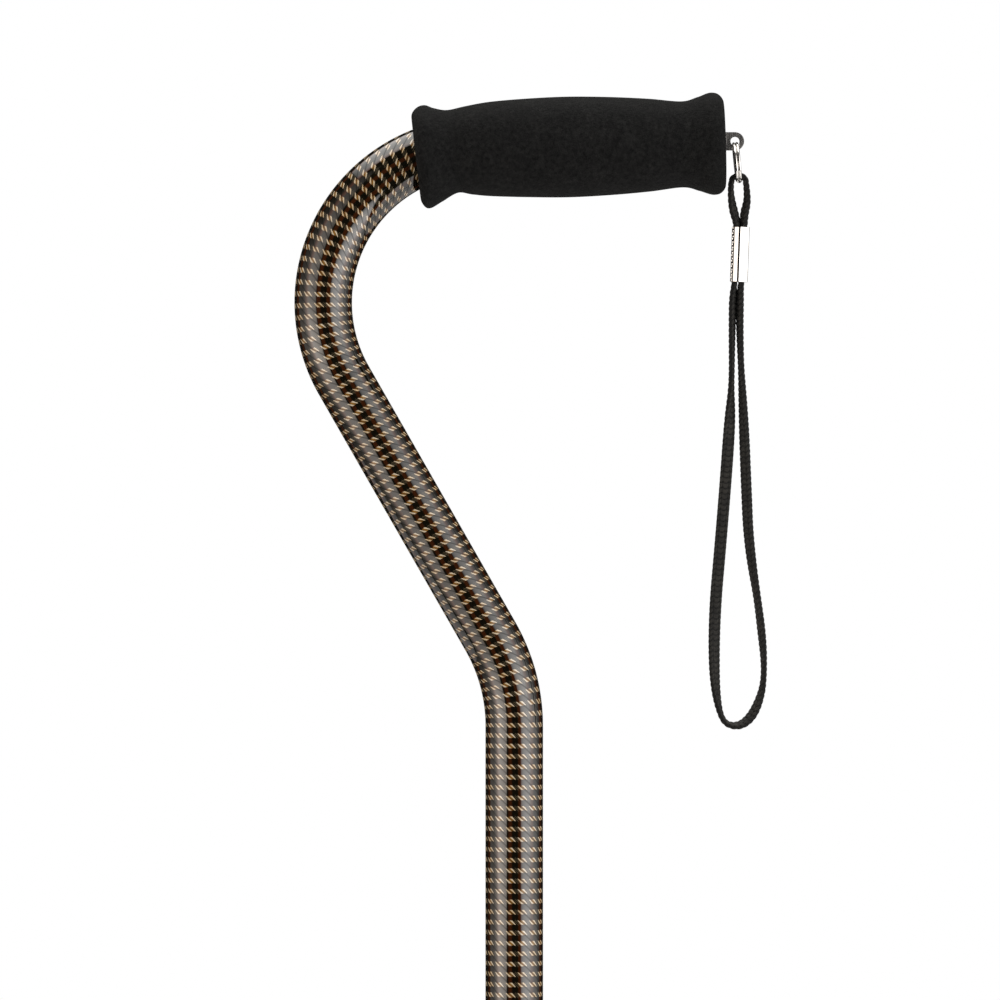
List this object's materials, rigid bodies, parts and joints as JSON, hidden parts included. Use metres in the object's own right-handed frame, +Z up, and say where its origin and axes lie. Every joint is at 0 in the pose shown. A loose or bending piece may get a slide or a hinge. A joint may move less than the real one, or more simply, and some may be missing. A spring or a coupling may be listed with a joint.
{
  "type": "quad walking cane",
  "caption": "Offset-handle walking cane with foam grip, wrist strap, printed shaft, telescoping height adjustment and a small turnable base on rubber-tipped legs.",
  "frame": {"origin": "on the floor, on the axis of the upright shaft", "axes": "+Z up along the shaft; +X towards the free end of the grip, which points back at the user; +Y towards the side that the longer legs reach to"},
  "size_m": [0.207, 0.161, 0.8905],
  "materials": {
    "printed_tube": "gloss",
    "black_foam": "matte",
    "black_plastic": "satin",
    "collar_plastic": "matte",
    "nickel_plate": "polished",
    "black_braid": "matte",
    "dark_anodised": "satin",
    "spring_steel": "satin",
    "black_powder_coat": "satin",
    "zinc_hardware": "satin",
    "tip_rubber": "matte"
  },
  "bodies": {
    "base": {"base_socket": "black_powder_coat", "socket_cap": "black_plastic", "base_top_plate": "black_powder_coat", "base_bottom_plate": "black_powder_coat", "inner_leg_tube": "black_powder_coat", "outer_leg_tube": "black_powder_coat", "base_bolts": "zinc_hardware", "base_nuts": "zinc_hardware", "base_washers": "zinc_hardware", "front_inner_tip": "tip_rubber", "rear_inner_tip": "tip_rubber", "front_outer_tip": "tip_rubber", "rear_outer_tip": "tip_rubber", "tip_washers": "zinc_hardware"},
    "stem": {"inner_stem": "dark_anodised", "stem_top_bush": "black_plastic", "stem_bottom_plug": "black_plastic", "height_button_spring": "spring_steel", "base_button_spring": "spring_steel"},
    "height_button": {"height_button": "nickel_plate"},
    "base_button": {"base_button": "nickel_plate"},
    "upper": {"upper_tube": "printed_tube", "foam_grip": "black_foam", "handle_end_plug": "black_plastic", "strap_lug": "nickel_plate", "lug_pin": "nickel_plate", "collet_sleeve": "black_plastic"},
    "collar": {"locking_collar": "collar_plastic"},
    "ring": {"split_ring": "nickel_plate"},
    "strap": {"wrist_strap": "black_braid", "strap_ferrule": "nickel_plate"}
  },
  "joints": [
    {"name": "base_turn", "type": "hinge", "parent": "base", "child": "stem", "pos_m": [0, 0, 0.1], "axis": [0, 0, 1], "range_deg": [0, 180], "deforming": ["base_button"]},
    {"name": "height_slide", "type": "slide", "parent": "stem", "child": "upper", "axis": [0, 0, 1], "range_m": [-0.127, 0.1016], "deforming": ["height_button"]},
    {"name": "height_button_press", "type": "slide", "parent": "stem", "child": "height_button", "axis": [-1, 0, 0], "range_m": [0, 0.005], "stiffness_N_per_m": 1500, "springref_m": -0.003, "deforming": ["height_button_spring"]},
    {"name": "base_button_press", "type": "slide", "parent": "stem", "child": "base_button", "axis": [-1, 0, 0], "range_m": [0, 0.005], "stiffness_N_per_m": 1500, "springref_m": -0.003, "deforming": ["base_button_spring"]},
    {"name": "collar_turn", "type": "hinge", "parent": "upper", "child": "collar", "pos_m": [0, 0, 0.276], "axis": [0, 0, 1], "range_deg": [0, 180]},
    {"name": "ring_swing", "type": "hinge", "parent": "upper", "child": "ring", "pos_m": [0.0851, 0, 0.8716], "axis": [0, -1, 0], "range_deg": [0, 75]},
    {"name": "strap_swing", "type": "hinge", "parent": "ring", "child": "strap", "pos_m": [0.08593, 0, 0.86374], "axis": [1, 0, 0], "range_deg": [-40, 40]}
  ]
}
